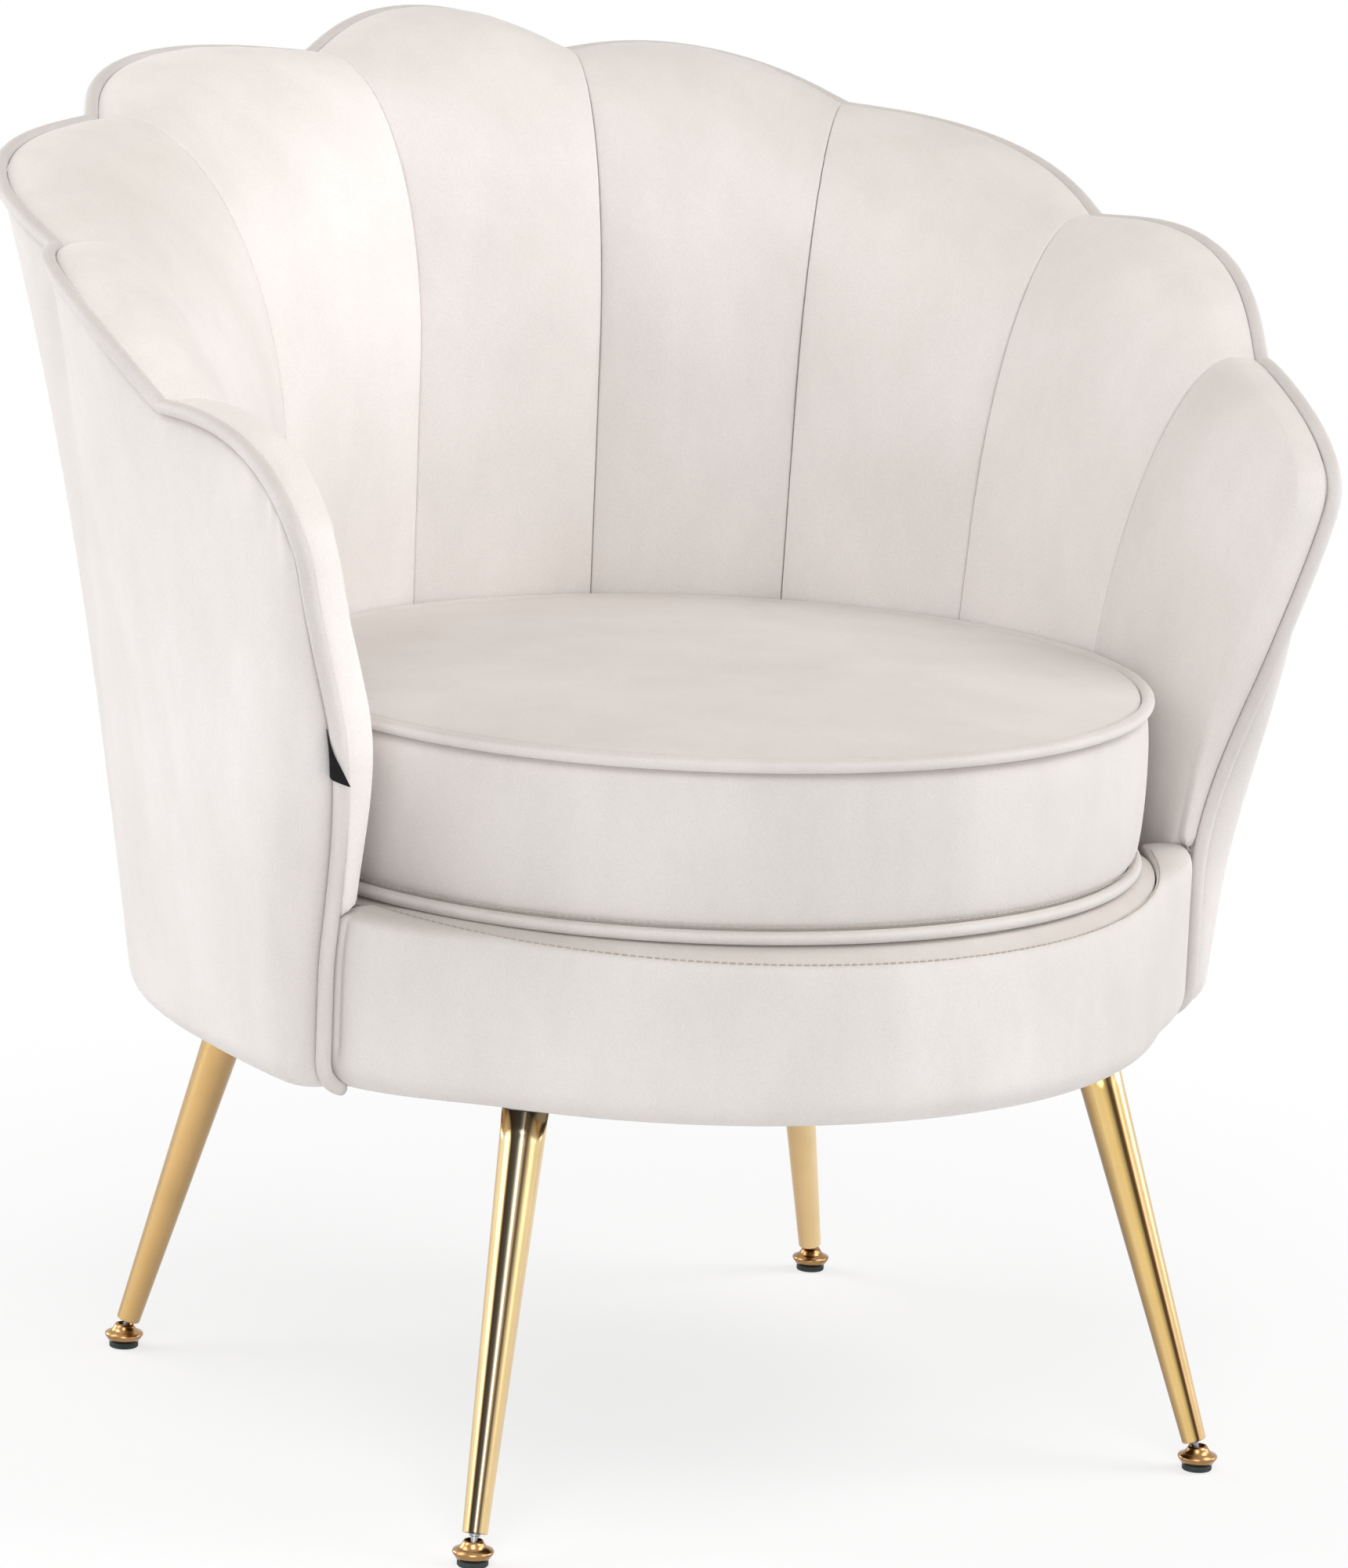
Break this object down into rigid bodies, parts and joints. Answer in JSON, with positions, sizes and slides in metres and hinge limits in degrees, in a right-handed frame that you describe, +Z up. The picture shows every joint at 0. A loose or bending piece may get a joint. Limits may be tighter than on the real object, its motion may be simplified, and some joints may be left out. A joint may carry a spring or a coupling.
{
  "type": "scallop back chair",
  "caption": "Tub armchair with a scalloped shell of padded channels, a loose round cushion and splayed tapered metal legs on swivelling feet.",
  "frame": {"origin": "middle of the chair's footprint, on the floor", "axes": "+Z up, -Y towards the front of the chair, +X towards the sitter's left"},
  "size_m": [0.7494, 0.6624, 0.774],
  "materials": {
    "velvet": "ivory velvet, short pile",
    "deck_cloth": "foam under plain cloth",
    "black_cloth": "black woven cloth",
    "plywood": "bare plywood",
    "webbing": "elastic webbing",
    "gold": "polished gold plating on steel tube",
    "foot_brass": "polished, darker than the legs",
    "steel": "zinc plated",
    "rubber": "matt"
  },
  "bodies": {
    "chair": {"back_channel_1": "velvet", "back_channel_2": "velvet", "back_channel_3": "velvet", "back_channel_4": "velvet", "back_channel_5": "velvet", "back_channel_6": "velvet", "back_channel_7": "velvet", "back_channel_8": "velvet", "back_channel_9": "velvet", "outer_panel": "velvet", "edge_piping": "velvet", "front_band": "velvet", "seat_frame": "plywood", "dust_cover": "black_cloth", "inner_back_board": "plywood", "frame_rib_1": "plywood", "frame_rib_2": "plywood", "frame_rib_3": "plywood", "frame_rib_4": "plywood", "frame_rib_5": "plywood", "frame_rib_6": "plywood", "frame_rib_7": "plywood", "frame_rib_8": "plywood", "webbing_across_1": "webbing", "webbing_along_1": "webbing", "webbing_across_2": "webbing", "webbing_along_2": "webbing", "webbing_across_3": "webbing", "webbing_along_3": "webbing", "seat_deck": "deck_cloth", "side_tag": "black_cloth", "leg_front_left": "gold", "leg_plate_front_left": "steel", "leg_bush_front_left": "steel", "leg_front_right": "gold", "leg_plate_front_right": "steel", "leg_bush_front_right": "steel", "leg_rear_left": "gold", "leg_plate_rear_left": "steel", "leg_bush_rear_left": "steel", "leg_rear_right": "gold", "leg_plate_rear_right": "steel", "leg_bush_rear_right": "steel"},
    "cushion": {"seat_cushion": "velvet", "cushion_piping_top": "velvet", "cushion_piping_bottom": "velvet"},
    "stem_front_left": {"foot_stem_front_left": "steel"},
    "foot_front_left": {"foot_base_front_left": "foot_brass", "foot_pad_front_left": "rubber"},
    "stem_front_right": {"foot_stem_front_right": "steel"},
    "foot_front_right": {"foot_base_front_right": "foot_brass", "foot_pad_front_right": "rubber"},
    "stem_rear_left": {"foot_stem_rear_left": "steel"},
    "foot_rear_left": {"foot_base_rear_left": "foot_brass", "foot_pad_rear_left": "rubber"},
    "stem_rear_right": {"foot_stem_rear_right": "steel"},
    "foot_rear_right": {"foot_base_rear_right": "foot_brass", "foot_pad_rear_right": "rubber"}
  },
  "joints": [
    {"name": "cushion_lift", "type": "slide", "parent": "chair", "child": "cushion", "axis": [0, -0.342, 0.9397], "range_m": [0, 0.45]},
    {"name": "level_front_left", "type": "slide", "parent": "chair", "child": "stem_front_left", "axis": [-0.2122, -0.2227, -0.9515], "range_m": [-0.001, 0.01]},
    {"name": "tilt_front_left", "type": "hinge", "parent": "stem_front_left", "child": "foot_front_left", "pos_m": [-0.231, -0.25721, 0.009], "axis": [0.724, -0.6898, 0], "range_deg": [-35, 3]},
    {"name": "level_front_right", "type": "slide", "parent": "chair", "child": "stem_front_right", "axis": [0.2122, -0.2227, -0.9515], "range_m": [-0.001, 0.01]},
    {"name": "tilt_front_right", "type": "hinge", "parent": "stem_front_right", "child": "foot_front_right", "pos_m": [0.231, -0.25721, 0.009], "axis": [0.724, 0.6898, 0], "range_deg": [-35, 3]},
    {"name": "level_rear_left", "type": "slide", "parent": "chair", "child": "stem_rear_left", "axis": [-0.2263, 0.1777, -0.9577], "range_m": [-0.001, 0.01]},
    {"name": "tilt_rear_left", "type": "hinge", "parent": "stem_rear_left", "child": "foot_rear_left", "pos_m": [-0.234, 0.18479, 0.009], "axis": [-0.6175, -0.7866, 0], "range_deg": [-35, 3]},
    {"name": "level_rear_right", "type": "slide", "parent": "chair", "child": "stem_rear_right", "axis": [0.2263, 0.1777, -0.9577], "range_m": [-0.001, 0.01]},
    {"name": "tilt_rear_right", "type": "hinge", "parent": "stem_rear_right", "child": "foot_rear_right", "pos_m": [0.234, 0.18479, 0.009], "axis": [-0.6175, 0.7866, 0], "range_deg": [-35, 3]}
  ]
}
